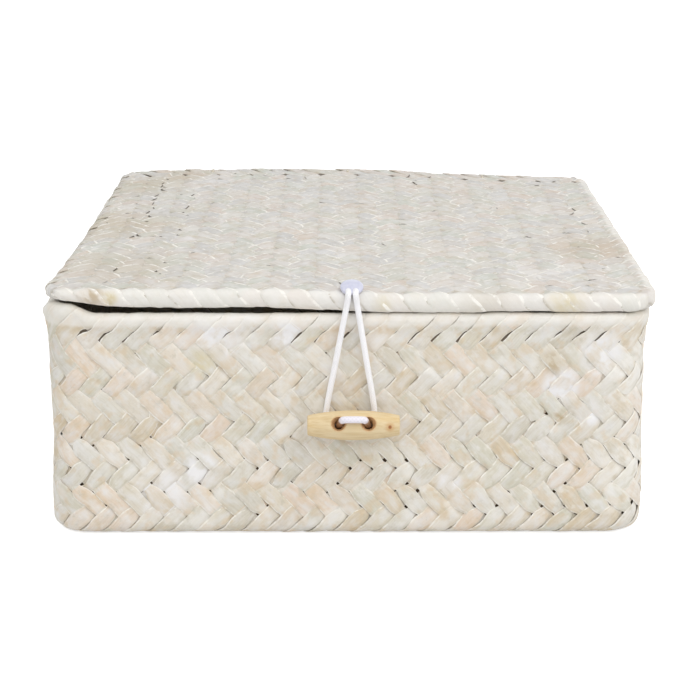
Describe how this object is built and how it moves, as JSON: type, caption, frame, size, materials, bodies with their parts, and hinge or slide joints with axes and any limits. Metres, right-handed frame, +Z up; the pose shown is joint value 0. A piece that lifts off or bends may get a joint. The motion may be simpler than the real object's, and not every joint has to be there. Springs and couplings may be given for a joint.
{
  "type": "woven lidded box",
  "caption": "Square plaited box with rolled rims, a flat lid tied on along the rear, and an elastic loop under a button that hooks behind a wooden toggle.",
  "frame": {"origin": "middle of the flat underside of the base, at the height of the surface it stands on", "axes": "+Z up, -Y towards the front wall with the toggle, +X to the right as seen from the front"},
  "size_m": [0.2998, 0.3194, 0.1292],
  "materials": {
    "outer_weave": "matte",
    "lining_weave": "matte",
    "cane": "satin",
    "elastic": "matte",
    "thread": "matte",
    "button": "satin",
    "toggle_wood": "satin"
  },
  "bodies": {
    "base": {"base_outer_weave": "outer_weave", "base_lining_weave": "lining_weave", "base_rim_hoop": "cane", "base_rim_fold": "outer_weave", "hinge_tie_1": "thread", "hinge_tie_2": "thread", "hinge_tie_3": "thread", "toggle_cord": "elastic", "toggle_cord_knot_1": "elastic", "toggle_cord_knot_2": "elastic"},
    "lid": {"lid_outer_weave": "outer_weave", "lid_lining_weave": "lining_weave", "lid_rim_hoop": "cane", "button": "button", "button_thread": "thread"},
    "loop": {"elastic_loop": "elastic"},
    "toggle": {"toggle": "toggle_wood"}
  },
  "joints": [
    {"name": "lid_hinge", "type": "hinge", "parent": "base", "child": "lid", "pos_m": [0, 0.14545, 0.1205], "axis": [-1, 0, 0], "range_deg": [0, 105], "deforming": ["hinge_tie_1", "hinge_tie_2", "hinge_tie_3"]},
    {"name": "loop_drape", "type": "hinge", "parent": "lid", "child": "loop", "pos_m": [0.0013, -0.14545, 0.1205], "axis": [1, 0, 0], "range_deg": [0, 90], "deforming": ["elastic_loop"]},
    {"name": "toggle_turn", "type": "hinge", "parent": "base", "child": "toggle", "pos_m": [0.002, -0.1579, 0.061], "axis": [0, -1, 0], "range_deg": [-30, 30], "deforming": ["toggle_cord"]}
  ],
  "couplings": [
    {"joint": "loop_drape", "follows": "lid_hinge", "ratio": 0.857}
  ]
}
